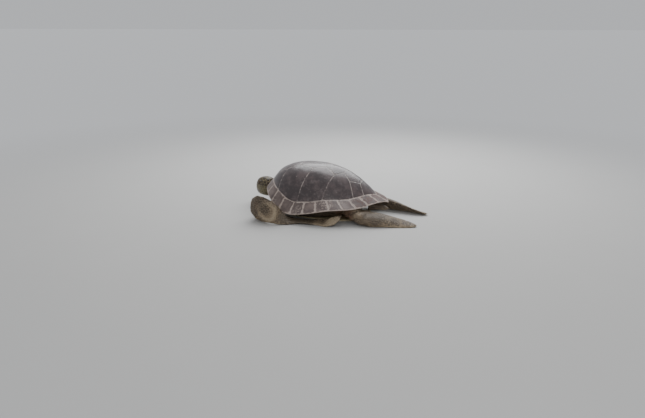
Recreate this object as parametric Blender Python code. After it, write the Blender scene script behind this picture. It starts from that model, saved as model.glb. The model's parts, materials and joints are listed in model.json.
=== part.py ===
"""A still, life-size adult loggerhead sea turtle, crawling: shell plates, body, limbs, head and tail.

Frame: metres, +X towards the head, +Y to the turtle's left, +Z up. The origin is the middle of the
plastron's flat underside, on the floor.
"""
import math

import bmesh
import bpy
import numpy as np
from mathutils import Matrix, Vector

# ---- driving dimensions, metres and degrees -------------------------------------------------
GAP = 0.0004                # clear space left between two neighbouring solids
SEAM = 0.0016               # width of the groove between two shell plates

SHELL_WAIST = 0.10          # X where the shell is widest; the radial seams point here
SHELL_FRONT = 0.400         # from the waist to the nuchal edge
SHELL_REAR = 0.595          # from the waist to the rear tip
SHELL_HALF_WIDTH = 0.378
SHELL_HEIGHT = 0.399
FRONT_POWER, FRONT_ROUND = 2.2, 0.57      # plan curve ahead of the waist
REAR_POWER, REAR_ROUND = 2.4, 0.85        # plan curve behind it, drawn in to a blunt point
# height of the rim at angles round the shell: 0 is the nuchal edge, 90 the waist, 180 the tip
RIM_HEIGHT = ((0, 0.200), (28, 0.182), (50, 0.128), (72, 0.072), (90, 0.082), (110, 0.119),
              (132, 0.124), (153, 0.147), (180, 0.128))
# front, side and rear values, blended round the shell
MARGIN_WIDTH = (0.055, 0.078, 0.100)      # width of the ring of marginal plates
MARGIN_RISE = (0.33, 0.205, 0.19)         # share of the dome's height gained across that ring
DOME_POWER = (3.0, 2.36, 2.55)
DOME_ROUND = (0.73, 0.72, 1.08)

PLATE_DEPTH = 0.006
MARGINAL_DEPTH = 0.008
MARGINALS = 12              # on each side, the last pair over the tail
NUCHAL_ANGLE = 17.0         # half the nuchal's span, as an angle round the rim
# rough length and width of the plates, to turn the seam's width into a share of them
VERTEBRAL_SIZE, COSTAL_SIZE = (0.17, 0.20), (0.18, 0.20)
MARGINAL_SIZE, NUCHAL_SIZE = (0.10, 0.08), (0.10, 0.055)
# seams across the middle row: X, half the row's width there
ROW_SEAMS = ((0.205, 0.068), (-0.005, 0.062), (-0.150, 0.056), (-0.278, 0.052))
# points where the middle row is widest and a costal seam starts: X, half-width
ROW_PEAKS = ((0.292, 0.112), (0.078, 0.118), (-0.092, 0.118), (-0.207, 0.100))
COSTAL_FEET = (0.332, 0.152, -0.045, -0.258)    # X where each costal seam reaches the marginals
FRONT_CORNER, REAR_CORNER = 15.0, 150.0   # angles where the middle row meets the marginals

TRUNK_REACH = (0.80, 0.93, 0.80)          # trunk's edge as a share of the rim: front, side, rear
TRUNK_CLEAR = 0.0065                      # below the plates' undersides
BELLY_START = 0.66                        # share of the trunk's radius that is flat underneath
BELLY_POWER = 1.35

PLASTRON_MIDDLE, PLASTRON_HALF_LENGTH, PLASTRON_HALF_WIDTH = -0.005, 0.345, 0.215
PLASTRON_THICKNESS = 0.012
PLASTRON_POWER = 2.6
PLASTRON_EDGE = 0.004

# head, along its own axis from the back of the skull: x, half-width, top, bottom
HEAD_ROWS = ((0.000, 0.048, 0.034, -0.072), (0.012, 0.058, 0.062, -0.078), (0.030, 0.067, 0.075, -0.082),
             (0.065, 0.071, 0.079, -0.083), (0.098, 0.062, 0.074, -0.082), (0.126, 0.050, 0.064, -0.078),
             (0.143, 0.039, 0.052, -0.071), (0.154, 0.029, 0.034, -0.060), (0.160, 0.018, 0.012, -0.048))
HEAD_BASE = Vector((0.503, -0.070, 0.150))
HEAD_TURN = -15.0           # degrees about Z, towards the right
EYE_AT = Vector((0.104, 0.0440, 0.035))   # in the head's own axes, left eye
EYE_RADIUS = 0.0165
MOUTH_DROP = -0.031         # height of the bite line at the jaw's corner, in the head's axes
MOUTH_RISE = 6.0            # degrees that the bite line drops towards the snout
BEAK_BACK = 0.140           # where the upper beak's edge crosses the head's own axis
BEAK_SLOPE = 56.0           # degrees that this edge leans, so the horn runs low along the jaw
JAW_BACK, JAW_SLOPE = 0.096, 12.0         # the same for the lower beak, at the bite line
JAW_BOTTOM = -0.060         # below the lower beak's back, bare chin
BITE_TURN = 0.092           # place along the head about which the bite line is turned
CUT_REACH, CUT_HALF = 0.12, 0.09          # size of the boxes that part the beak, well past the head
HEAD_SQUARE = (0.86, 0.92)  # powers below 1 that square the head's section across and upwards
HEAD_CROWDING = 1.35        # above 1 crowds the head's sections towards the snout
HEAD_STEPS, HEAD_SIDES = 11, 20
NOSE_BULGE = 0.0035
SECTION_DROP = 0.004        # the head is widest this far below its middle

# flesh along its spine: share, X, Y, Z, half-width, half-thickness, tilt of the width from level
NECK_ROWS = ((0.0, 0.325, -0.010, 0.116, 0.100, 0.072, 0), (0.5, 0.435, -0.042, 0.112, 0.078, 0.064, 0),
             (1.0, 0.530, -0.076, 0.116, 0.050, 0.062, 0))
ARM_ROWS = ((0.0, 0.290, 0.170, 0.086, 0.058, 0.052, 0), (0.38, 0.385, 0.262, 0.072, 0.064, 0.052, -15),
            (0.68, 0.436, 0.330, 0.092, 0.078, 0.072, -20), (1.0, 0.432, 0.402, 0.095, 0.074, 0.070, -20))
BLADE_ROWS = ((0.0, 0.488, 0.362, 0.105, 0.066, 0.030, 90), (0.05, 0.450, 0.382, 0.107, 0.093, 0.035, 89),
              (0.13, 0.378, 0.414, 0.104, 0.101, 0.028, 87), (0.21, 0.308, 0.430, 0.088, 0.087, 0.021, 84),
              (0.28, 0.258, 0.420, 0.058, 0.062, 0.015, 76), (0.35, 0.216, 0.392, 0.034, 0.050, 0.012, 46),
              (0.42, 0.172, 0.358, 0.020, 0.048, 0.011, 16), (0.52, 0.108, 0.336, 0.018, 0.047, 0.010, 6),
              (0.63, 0.020, 0.330, 0.018, 0.045, 0.010, 8), (0.73, -0.042, 0.324, 0.019, 0.043, 0.009, 26),
              (0.84, -0.122, 0.347, 0.031, 0.041, 0.008, 48), (0.92, -0.172, 0.328, 0.056, 0.030, 0.007, 46),
              (1.0, -0.212, 0.300, 0.086, 0.012, 0.005, 40))
HIND_ROWS = ((0.0, -0.215, 0.150, 0.088, 0.060, 0.050, 0), (0.16, -0.290, 0.212, 0.074, 0.066, 0.048, 16),
             (0.30, -0.372, 0.226, 0.055, 0.073, 0.043, 26), (0.46, -0.470, 0.206, 0.045, 0.067, 0.033, 30),
             (0.66, -0.585, 0.180, 0.029, 0.057, 0.016, 28), (0.86, -0.685, 0.160, 0.016, 0.043, 0.010, 18),
             (1.0, -0.752, 0.152, 0.009, 0.017, 0.007, 8))
THIGH_SHARE = 0.36          # part of the hind limb's spine that is thigh
RIGHT_HIND_SHIFT = Vector((-0.030, 0.004, 0.002))
RIGHT_HIND_TILT = 8.0
TAIL_ROWS = ((0.0, -0.340, 0.0, 0.086, 0.050, 0.040, 0), (0.45, -0.415, 0.0, 0.084, 0.034, 0.027, 0),
             (0.8, -0.470, 0.0, 0.078, 0.020, 0.017, 0), (1.0, -0.506, 0.0, 0.073, 0.009, 0.008, 0))
NECK_END = 0.2              # reach of the box that ends the neck at the skull
CLAW_LENGTH, CLAW_RADIUS, CLAW_TIP = 0.024, 0.006, 0.0012
CLAW_AT = Vector((0.180, 0.416, 0.014))     # middle of the left front claw
CLAW_POINTS = Vector((-0.80, 0.55, -0.10))
EDGE_FULLNESS = 0.30        # how much thicker a flipper's leading edge is than its middle
ARM_TIP, BLADE_TIP, FOOT_TIP, TAIL_TIP = 0.45, 0.05, 0.05, 0.10    # share of each that rounds off
DIRECTION_STEP = 0.02       # share of a limb over which its direction is read
HIND_LENGTH = 0.7           # spine of a hind limb, to turn the gap at the knee into a share

COLOURS = {                 # colour, roughness
    "horn_dark": ((0.075, 0.060, 0.062), 0.30), "horn_edge": ((0.22, 0.175, 0.16), 0.38),
    "plastron_horn": ((0.62, 0.55, 0.38), 0.45), "skin": ((0.23, 0.19, 0.14), 0.62),
    "head_skin": ((0.13, 0.115, 0.08), 0.50), "beak_horn": ((0.10, 0.085, 0.055), 0.35),
    "eye": ((0.02, 0.015, 0.012), 0.08), "claw_horn": ((0.20, 0.16, 0.12), 0.35)}


# ---- scene and small helpers ----------------------------------------------------------------
def clear_scene():
    for obj in list(bpy.data.objects):
        bpy.data.objects.remove(obj, do_unlink=True)


def collection(name):
    group = bpy.data.collections.new(name)
    bpy.context.scene.collection.children.link(group)
    return group


def material(name):
    colour, roughness = COLOURS[name]
    mat = bpy.data.materials.get(name)
    if mat is None:
        mat = bpy.data.materials.new(name)
        mat.use_nodes = True
        shader = mat.node_tree.nodes["Principled BSDF"]
        shader.inputs["Base Color"].default_value = (*colour, 1.0)
        shader.inputs["Roughness"].default_value = roughness
        shader.inputs["Metallic"].default_value = 0.0
        mat.diffuse_color = (*colour, 1.0)
    return mat


def finish(bm, name, mat, group, smooth=40.0):
    """Turn a bmesh into a named object with its material."""
    mesh = bpy.data.meshes.new(name)
    bmesh.ops.triangulate(bm, faces=bm.faces)
    bmesh.ops.recalc_face_normals(bm, faces=bm.faces)
    if bm.calc_volume(signed=True) < 0:
        bmesh.ops.reverse_faces(bm, faces=bm.faces)
    bm.to_mesh(mesh)
    bm.free()
    mesh.materials.append(material(mat))
    mesh.shade_smooth()
    mesh.set_sharp_from_angle(angle=math.radians(smooth))
    obj = bpy.data.objects.new(name, mesh)
    group.objects.link(obj)
    return obj


def as_cutter(obj):
    obj.hide_render = True
    obj.display_type = "WIRE"
    return obj


def boolean(obj, cutter, operation="DIFFERENCE"):
    mod = obj.modifiers.new(f"{operation.lower()}_{cutter.name}", "BOOLEAN")
    mod.operation = operation
    mod.solver = "EXACT"
    mod.object = cutter


def track(rows):
    """A smooth function through rows of (key, value, value, ...)."""
    keys = np.array([row[0] for row in rows], float)
    values = np.array([row[1:] for row in rows], float)
    slopes = np.gradient(values, keys, axis=0)

    def at(key):
        i = int(np.clip(np.searchsorted(keys, key, side="right") - 1, 0, len(keys) - 2))
        span = keys[i + 1] - keys[i]
        s = min(max((key - keys[i]) / span, 0.0), 1.0)
        start, end = values[i], values[i + 1]
        return (start * (1 + 2 * s) * (1 - s) ** 2 + slopes[i] * span * s * (1 - s) ** 2
                + end * s * s * (3 - 2 * s) + slopes[i + 1] * span * s * s * (s - 1))
    return at


def blend_round(angle, values):
    """Blend front, side and rear values by the angle (radians) round the shell."""
    front, rear = ((1 + math.cos(angle)) / 2) ** 2, ((1 - math.cos(angle)) / 2) ** 2
    return values[0] * front + values[1] * (1 - front - rear) + values[2] * rear


# ---- the carapace as a surface --------------------------------------------------------------
rim_track = track(RIM_HEIGHT)


def rim_plan(angle):
    """X and Y of the rim at an angle (radians) round the left side."""
    c = math.cos(angle)
    if c > 0:
        length, power, roundness = SHELL_FRONT, FRONT_POWER, FRONT_ROUND
    else:
        length, power, roundness = SHELL_REAR, REAR_POWER, REAR_ROUND
    return SHELL_WAIST + length * c, SHELL_HALF_WIDTH * max(1 - abs(c) ** power, 0.0) ** roundness


ANGLES = np.linspace(0.0, math.pi, 1441)
RIM_XY = np.array([rim_plan(angle) for angle in ANGLES])
RIM_BEARING = np.arctan2(RIM_XY[:, 1], RIM_XY[:, 0] - SHELL_WAIST)
RIM_RADIUS = np.hypot(RIM_XY[:, 0] - SHELL_WAIST, RIM_XY[:, 1])
RIM_LENGTH = np.concatenate([[0.0], np.cumsum(np.hypot(*np.diff(RIM_XY, axis=0).T))])


def margin_share(angle):
    """Share of the rim's radius where the marginal plates start."""
    return 1 - blend_round(angle, MARGIN_WIDTH) / float(np.interp(angle, ANGLES, RIM_RADIUS))


def plan_at(angle, share, side=1):
    """X and Y at a share of the way from the waist's middle to the rim."""
    x, y = rim_plan(angle)
    return SHELL_WAIST + share * (x - SHELL_WAIST), side * share * y


def shell_height(x, y):
    bearing = math.atan2(abs(y), x - SHELL_WAIST)
    angle = float(np.interp(bearing, RIM_BEARING, ANGLES))
    share = math.hypot(x - SHELL_WAIST, y) / float(np.interp(bearing, RIM_BEARING, RIM_RADIUS))
    margin, rise = margin_share(angle), blend_round(angle, MARGIN_RISE)
    power, roundness = blend_round(angle, DOME_POWER), blend_round(angle, DOME_ROUND)

    def dome(s):
        return max(1 - (s / (1.03 * margin)) ** power, 0.0) ** roundness

    if share < margin:
        level = rise + (1 - rise) * (dome(share) - dome(margin)) / (1 - dome(margin))
    else:
        level = rise * (1 - share) / (1 - margin)
    rim = float(rim_track(math.degrees(angle))[0])
    return rim + (SHELL_HEIGHT - rim) * level


def shell_normal(x, y, step=0.004):
    slope_x = (shell_height(x + step, y) - shell_height(x - step, y)) / (2 * step)
    slope_y = (shell_height(x, y + step) - shell_height(x, y - step)) / (2 * step)
    return Vector((-slope_x, -slope_y, 1.0)).normalized()


def shell_point(x, y, depth=0.0):
    """A point under the shell's surface, at a depth measured square to it."""
    return Vector((x, y, shell_height(x, y))) - shell_normal(x, y) * depth


# ---- shell plates ---------------------------------------------------------------------------
def slab(columns, rows):
    """A unit box whose top and bottom are grids of columns by rows."""
    bm = bmesh.new()
    bmesh.ops.create_cube(bm, size=1.0, matrix=Matrix.Translation((0.5, 0.5, 0.5)))
    for axis, count in ((0, columns), (1, rows)):
        along = [e for e in bm.edges if abs(e.verts[0].co[axis] - e.verts[1].co[axis]) > 0.5]
        bmesh.ops.subdivide_edges(bm, edges=along, cuts=count - 1, use_grid_fill=True)
    return bm


def plate(name, plan, size, grid, depth, mat, group):
    """A shell plate: plan(p, q) gives X and Y, size its rough length and width, grid its faces."""
    bm = slab(*grid)
    trim_p, trim_q = SEAM / 2 / size[0], SEAM / 2 / size[1]
    for v in bm.verts:
        p = trim_p + (1 - 2 * trim_p) * v.co.x
        q = trim_q + (1 - 2 * trim_q) * v.co.y
        v.co = shell_point(*plan(p, q), depth * (1 - v.co.z))
    return finish(bm, name, mat, group)


def along_path(points, share):
    """The point at an even share of the way through a list of X, Y points."""
    place = share * (len(points) - 1)
    i = min(int(place), len(points) - 2)
    f = place - i
    return tuple(a + (b - a) * f for a, b in zip(points[i], points[i + 1]))


def seam_angle(x):
    """Angle round the shell where the line inside the marginals has this X."""
    angles = ANGLES[::8]
    line = [-plan_at(angle, margin_share(angle))[0] for angle in angles]
    return float(np.interp(-x, line, angles))


def corner_of_row(at_front):
    """Where the middle row's outer corner meets the marginals, at its front or its rear."""
    angle = math.radians(FRONT_CORNER if at_front else REAR_CORNER)
    return plan_at(angle, margin_share(angle))


def middle_plate(index):
    """Plan of a plate in the middle row, p from its rear seam to its front one, q across."""
    last = len(ROW_SEAMS)
    if 0 < index < last:
        path = (ROW_SEAMS[index], ROW_PEAKS[index], ROW_SEAMS[index - 1])

        def plan(p, q):
            x, half = along_path(path, p)
            return x, half * (2 * q - 1)
        return plan
    start = (ROW_SEAMS[0], ROW_PEAKS[0]) if index == 0 else (ROW_SEAMS[-1],)
    corner = math.radians(FRONT_CORNER if index == 0 else 180.0 - REAR_CORNER)

    def end_plan(p, q):
        width = 2 * q - 1
        swing = corner * abs(width)
        angle = swing if index == 0 else math.pi - swing
        end = plan_at(angle, margin_share(angle), math.copysign(1, width))
        path = [(x, half * width) for x, half in start] + [end]
        return along_path(path, p if index == 0 else 1 - p)
    return end_plan


def costal_plate(index, side):
    """Plan of a costal plate: p from its front seam to its rear one, q from the middle row out."""
    feet = [math.radians(FRONT_CORNER), *(seam_angle(x) for x in COSTAL_FEET), math.radians(REAR_CORNER)]
    if index == 0:
        inner = [corner_of_row(True), ROW_PEAKS[0]]
    elif index == len(ROW_SEAMS):
        inner = [ROW_PEAKS[-1], ROW_SEAMS[-1], corner_of_row(False)]
    else:
        inner = [ROW_PEAKS[index - 1], ROW_SEAMS[index - 1], ROW_PEAKS[index]]

    def plan(p, q):
        angle = feet[index] + (feet[index + 1] - feet[index]) * p
        x0, y0 = along_path(inner, p)
        x1, y1 = plan_at(angle, margin_share(angle))
        return x0 + (x1 - x0) * q, side * (y0 + (y1 - y0) * q)
    return plan


def marginal_angles():
    """Angles of the seams between the marginal plates, at even steps along the rim."""
    start = float(np.interp(math.radians(NUCHAL_ANGLE), ANGLES, RIM_LENGTH))
    marks = np.linspace(start, RIM_LENGTH[-1], MARGINALS + 1)
    return [float(np.interp(mark, RIM_LENGTH, ANGLES)) for mark in marks]


def rim_plate(first, last):
    """Plan of a plate of the rim between two angles, q from its inner edge out."""
    def plan(p, q):
        angle = first + (last - first) * p
        inner = margin_share(abs(angle))
        return plan_at(abs(angle), inner + (1 - inner) * q, math.copysign(1, angle))
    return plan


def make_plates(group):
    """All 38 plates; neighbours have as many faces along a shared seam, so that they fit."""
    rows = len(ROW_SEAMS) + 1
    for index in range(rows):
        grid = (3, 6) if index == rows - 1 else (6, 6)
        plate(f"vertebral_{index + 1}", middle_plate(index), VERTEBRAL_SIZE, grid, PLATE_DEPTH,
              "horn_dark", group)
    for side, word in ((1, "left"), (-1, "right")):
        for index in range(rows):
            grid = (3, 4) if index == 0 else (6, 4)
            plate(f"costal_{word}_{index + 1}", costal_plate(index, side), COSTAL_SIZE, grid,
                  PLATE_DEPTH, "horn_dark", group)
        marks = marginal_angles()
        for index, (first, last) in enumerate(zip(marks, marks[1:])):
            plate(f"marginal_{word}_{index + 1}", rim_plate(side * first, side * last), MARGINAL_SIZE,
                  (3, 2), MARGINAL_DEPTH, "horn_edge", group)
    half = math.radians(NUCHAL_ANGLE)
    plate("nuchal", rim_plate(-half, half), NUCHAL_SIZE, (4, 2), MARGINAL_DEPTH, "horn_edge", group)


# ---- trunk and plastron ---------------------------------------------------------------------
def make_trunk(name, group, grow=0.0):
    """The body inside the shell: a lens with its top under the plates and a flat-bottomed belly."""
    bm = bmesh.new()
    bmesh.ops.create_uvsphere(bm, u_segments=28, v_segments=16, radius=1.0)
    floor = PLASTRON_THICKNESS + GAP - grow
    for v in bm.verts:
        share = min(math.hypot(v.co.x, v.co.y), 1.0)
        bearing = math.atan2(v.co.y, v.co.x)
        angle, side = abs(bearing), math.copysign(1, bearing)
        reach = blend_round(angle, TRUNK_REACH)
        x, y = plan_at(angle, share * reach, side)
        depth = MARGINAL_DEPTH + TRUNK_CLEAR - grow
        top = shell_point(x, y, depth)
        if v.co.z >= -1e-6:
            v.co = top
        else:
            climb = max(share - BELLY_START, 0.0) / (1 - BELLY_START)
            edge = shell_point(*plan_at(angle, reach, side), depth)
            at = Vector((x, y, 0.0)).lerp(Vector((edge.x, edge.y, 0.0)), climb ** 2)
            v.co = (at.x, at.y, floor + (edge.z - floor) * climb ** BELLY_POWER)
    return finish(bm, name, "skin", group)


def make_plastron(group):
    bm = bmesh.new()
    bmesh.ops.create_cone(bm, cap_ends=True, segments=36, radius1=1.0, radius2=1.0,
                          depth=PLASTRON_THICKNESS)
    for v in bm.verts:
        turn = math.atan2(v.co.y, v.co.x)
        c, s = math.cos(turn), math.sin(turn)
        reach = (abs(c) ** PLASTRON_POWER + abs(s) ** PLASTRON_POWER) ** (-1 / PLASTRON_POWER)
        v.co.x = PLASTRON_MIDDLE + PLASTRON_HALF_LENGTH * reach * c
        v.co.y = PLASTRON_HALF_WIDTH * reach * s
        v.co.z += PLASTRON_THICKNESS / 2
    low = [e for e in bm.edges if all(v.co.z < PLASTRON_EDGE for v in e.verts)]
    bmesh.ops.bevel(bm, geom=low, offset=PLASTRON_EDGE, segments=2, profile=0.5, affect="EDGES")
    return finish(bm, "plastron", "plastron_horn", group)


# ---- limbs, neck and tail -------------------------------------------------------------------
def loft(rings):
    """A closed body through rings of points, capped at both ends."""
    bm = bmesh.new()
    loops = [[bm.verts.new(point) for point in ring] for ring in rings]
    count = len(loops[0])
    for low, high in zip(loops, loops[1:]):
        for i in range(count):
            j = (i + 1) % count
            bm.faces.new((low[i], low[j], high[j], high[i]))
    for loop in (loops[0], loops[-1]):
        middle = bm.verts.new(sum((v.co for v in loop), Vector()) / count)
        for i in range(count):
            bm.faces.new((loop[i], loop[(i + 1) % count], middle))
    return bm


def limb(name, rows, mat, group, side=1, span=(0.0, 1.0), steps=10, sides=14, tip=0.0, grow=0.0,
         fullness=EDGE_FULLNESS, shift=Vector((0, 0, 0)), twist=0.0):
    """A flattened tapering limb along its spine; what would pass the floor is laid flat on it."""
    at = track(rows)
    rings = []
    for step in range(steps + 1):
        share = span[0] + (span[1] - span[0]) * step / steps
        row = at(share)
        ahead, behind = at(min(share + DIRECTION_STEP, 1.0)), at(max(share - DIRECTION_STEP, 0.0))
        along = Vector(ahead[:3] - behind[:3]).normalized()
        level = along.cross(Vector((0, 0, 1))).normalized()
        tilt = math.radians(row[5] + twist)
        wide = level * math.cos(tilt) + along.cross(level) * math.sin(tilt)
        thick = wide.cross(along).normalized()
        size = 1.0
        if tip and share > 1 - tip:
            size = math.sqrt(max(1 - ((share - 1 + tip) / tip) ** 2, 0.02))
        ring = []
        for k in range(sides):
            turn = 2 * math.pi * k / sides
            c, s = math.cos(turn), math.sin(turn)
            point = (Vector(row[:3]) + shift + wide * (row[3] * size + grow) * c
                     + thick * (row[4] * size * (1 + fullness * c) + grow) * s)
            ring.append((point.x, side * point.y, max(point.z, 0.0)))
        rings.append(ring)
    return finish(loft(rings), name, mat, group)


def claw(name, side, group):
    """A short horny claw on a front flipper's leading edge."""
    bm = bmesh.new()
    bmesh.ops.create_cone(bm, cap_ends=True, segments=10, radius1=CLAW_RADIUS, radius2=CLAW_TIP,
                          depth=CLAW_LENGTH)
    mirror = Vector((1, side, 1))
    turn = Vector((0, 0, 1)).rotation_difference(CLAW_POINTS * mirror).to_matrix().to_4x4()
    bmesh.ops.transform(bm, matrix=Matrix.Translation(CLAW_AT * mirror) @ turn, verts=bm.verts)
    return finish(bm, name, "claw_horn", group)


def make_front_limb(side, word, group, cutters, trunk_cutter):
    """Upper arm up to the bend, the swept-back blade, and its claw."""
    arm = {"rows": ARM_ROWS, "mat": "skin", "side": side, "steps": 8, "sides": 16, "tip": ARM_TIP,
           "fullness": 0.0}
    blade = {"rows": BLADE_ROWS, "mat": "skin", "side": side, "steps": 16, "sides": 12, "tip": BLADE_TIP}
    boolean(limb(f"front_{word}_upper", group=group, **arm), trunk_cutter)
    flipper = limb(f"front_{word}_flipper", group=group, **blade)
    boolean(flipper, as_cutter(limb(f"around_{word}_upper", group=cutters, grow=GAP, **arm)))
    boolean(flipper, trunk_cutter)
    around_blade = as_cutter(limb(f"around_{word}_flipper", group=cutters, grow=GAP, **blade))
    boolean(claw(f"claw_{word}", side, group), around_blade)


def make_hind_limb(side, word, group, trunk_cutter):
    """Thigh and foot, parted at the knee; the right one trails further back."""
    shift, twist = (Vector((0, 0, 0)), 0.0) if side == 1 else (RIGHT_HIND_SHIFT, RIGHT_HIND_TILT)
    knee = THIGH_SHARE + GAP / HIND_LENGTH
    thigh = limb(f"hind_{word}_thigh", HIND_ROWS, "skin", group, side, (0.0, THIGH_SHARE), 6, 14,
                 shift=shift, twist=twist)
    foot = limb(f"hind_{word}_flipper", HIND_ROWS, "skin", group, side, (knee, 1.0), 12, 14,
                tip=FOOT_TIP, shift=shift, twist=twist)
    boolean(thigh, trunk_cutter)
    boolean(foot, trunk_cutter)


def make_limbs(group, cutters, trunk_cutter):
    neck = limb("neck", NECK_ROWS, "skin", group, steps=6, sides=18, fullness=0.0)
    boolean(neck, trunk_cutter)
    boolean(neck, box("head_room", (-GAP, -NECK_END, -NECK_END), (NECK_END, NECK_END, NECK_END), 0.0,
                      (0, 0, 0), cutters))
    tail = limb("tail", TAIL_ROWS, "skin", group, steps=6, sides=12, tip=TAIL_TIP, fullness=0.0)
    boolean(tail, trunk_cutter)
    for side, word in ((1, "left"), (-1, "right")):
        make_front_limb(side, word, group, cutters, trunk_cutter)
        make_hind_limb(side, word, group, trunk_cutter)


# ---- head -----------------------------------------------------------------------------------
def head_matrix():
    return Matrix.Translation(HEAD_BASE) @ Matrix.Rotation(math.radians(HEAD_TURN), 4, "Z")


def head_form(name, mat, group):
    """The whole head as one rounded body, in place."""
    at = track(HEAD_ROWS)
    end = HEAD_ROWS[-1][0]
    rings = []
    for step in range(HEAD_STEPS + 1):
        x = end * (1 - (1 - step / HEAD_STEPS) ** HEAD_CROWDING)
        half, top, bottom = at(x)
        middle = (top + bottom) / 2 - SECTION_DROP
        ring = []
        for k in range(HEAD_SIDES):
            turn = 2 * math.pi * k / HEAD_SIDES
            c, s = math.cos(turn), math.sin(turn)
            height = top - middle if s > 0 else middle - bottom
            nose = NOSE_BULGE * (1 - s * s) if step == HEAD_STEPS else 0.0
            y = half * math.copysign(abs(c) ** HEAD_SQUARE[0], c)
            z = middle + height * math.copysign(abs(s) ** HEAD_SQUARE[1], s)
            ring.append(head_matrix() @ Vector((x + nose, y, z)))
        rings.append(ring)
    return finish(loft(rings), name, mat, group)


def box(name, low, high, lean, pivot, group):
    """A cutting box in the head's axes, leaning about a pivot on its own Y axis."""
    low, high = Vector(low), Vector(high)
    bm = bmesh.new()
    bmesh.ops.create_cube(bm, size=1.0)
    spread = Matrix.Diagonal((high - low).to_4d())
    centre = Matrix.Translation((low + high) / 2)
    turn = (Matrix.Translation(pivot) @ Matrix.Rotation(math.radians(lean), 4, "Y")
            @ Matrix.Translation(-Vector(pivot)))
    bmesh.ops.transform(bm, matrix=head_matrix() @ turn @ centre @ spread, verts=bm.verts)
    return as_cutter(finish(bm, name, "beak_horn", group))


def beak_space(name, upper, grow, cutters):
    """The space that one half of the beak fills: ahead of its leaning edge, up to the bite line."""
    if upper:
        edge, lean, pivot, bottom = BEAK_BACK, BEAK_SLOPE, (BEAK_BACK, 0, 0), -CUT_REACH
        low, high = -CUT_REACH, MOUTH_DROP - grow
    else:
        edge, lean, pivot, bottom = JAW_BACK, JAW_SLOPE, (JAW_BACK, 0, MOUTH_DROP), JAW_BOTTOM - grow
        low, high = MOUTH_DROP - GAP + grow, CUT_REACH
    space = box(name, (edge - grow, -CUT_HALF, bottom), (edge + CUT_REACH, CUT_HALF, CUT_REACH),
                lean, pivot, cutters)
    past_bite = box(f"{name}_end", (-CUT_REACH, -CUT_HALF, low), (2 * CUT_REACH, CUT_HALF, high),
                    MOUTH_RISE, (BITE_TURN, 0, MOUTH_DROP), cutters)
    boolean(space, past_bite)
    return space


def eyeball(name, side, radius, group):
    bm = bmesh.new()
    place = head_matrix() @ Vector((EYE_AT.x, side * EYE_AT.y, EYE_AT.z))
    bmesh.ops.create_uvsphere(bm, u_segments=12, v_segments=8, radius=radius,
                              matrix=Matrix.Translation(place))
    return finish(bm, name, "eye", group)


def make_head(group, cutters):
    head = head_form("head", "head_skin", group)
    for word in ("upper", "lower"):
        beak = head_form(f"beak_{word}", "beak_horn", group)
        boolean(beak, beak_space(f"{word}_space", word == "upper", 0.0, cutters), "INTERSECT")
        boolean(head, beak_space(f"{word}_clear", word == "upper", GAP, cutters))
    for side, word in ((1, "left"), (-1, "right")):
        eyeball(f"eye_{word}", side, EYE_RADIUS, group)
        boolean(head, as_cutter(eyeball(f"socket_{word}", side, EYE_RADIUS + GAP, cutters)))


def main():
    clear_scene()
    group = collection("sea_turtle")
    cutters = collection("cutters")
    make_plates(group)
    make_trunk("trunk", group)
    make_plastron(group)
    trunk_cutter = as_cutter(make_trunk("around_trunk", cutters, GAP))
    make_limbs(group, cutters, trunk_cutter)
    make_head(group, cutters)


main()
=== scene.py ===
"""Looks of a crawling adult loggerhead sea turtle: horn plates, one skin, scales, beak, eyes and claws.

Metres, +X towards the head, +Y to the turtle's left, +Z up, floor at Z = 0.
"""
import json
import math
from collections import namedtuple
from contextlib import contextmanager

import bmesh
import bpy
import numpy as np
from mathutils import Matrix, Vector, noise
from mathutils.bvhtree import BVHTree
from mathutils.kdtree import KDTree
from numpy.linalg import norm

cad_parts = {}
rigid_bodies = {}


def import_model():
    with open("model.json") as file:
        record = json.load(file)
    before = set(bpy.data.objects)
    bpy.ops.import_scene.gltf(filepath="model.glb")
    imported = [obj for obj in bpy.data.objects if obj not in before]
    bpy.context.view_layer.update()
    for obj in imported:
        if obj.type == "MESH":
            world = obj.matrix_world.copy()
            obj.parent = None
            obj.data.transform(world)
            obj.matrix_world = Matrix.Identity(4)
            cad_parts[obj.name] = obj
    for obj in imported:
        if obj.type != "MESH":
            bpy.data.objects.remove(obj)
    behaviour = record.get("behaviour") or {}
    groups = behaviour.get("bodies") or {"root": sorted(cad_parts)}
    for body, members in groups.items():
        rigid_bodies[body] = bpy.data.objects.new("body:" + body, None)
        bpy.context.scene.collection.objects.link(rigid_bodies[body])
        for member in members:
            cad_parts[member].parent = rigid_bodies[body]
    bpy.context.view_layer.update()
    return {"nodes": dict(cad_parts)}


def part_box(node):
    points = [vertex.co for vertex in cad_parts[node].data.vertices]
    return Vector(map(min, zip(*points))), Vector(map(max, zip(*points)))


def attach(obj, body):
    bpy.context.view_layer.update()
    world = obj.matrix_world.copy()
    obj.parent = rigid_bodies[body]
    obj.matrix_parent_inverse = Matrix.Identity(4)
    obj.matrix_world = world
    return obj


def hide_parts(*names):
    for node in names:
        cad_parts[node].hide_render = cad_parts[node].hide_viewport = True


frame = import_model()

MM = 0.001
UP = Vector((0, 0, 1))

# ---- what the solids are made of ----
SIDES = ("left", "right")
LIMBS = [f"{end}_{side}_{part}" for side in SIDES
         for end, part in (("front", "upper"), ("front", "flipper"), ("hind", "thigh"), ("hind", "flipper"))]
FLESH = ["trunk", "neck", "head", "tail", *LIMBS]
BEAKS = ["beak_upper", "beak_lower"]
DARK_PLATES = [n for n in frame["nodes"] if n.startswith(("vertebral", "costal"))]
RIM_PLATES = [n for n in frame["nodes"] if n.startswith(("marginal", "nuchal"))]

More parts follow.
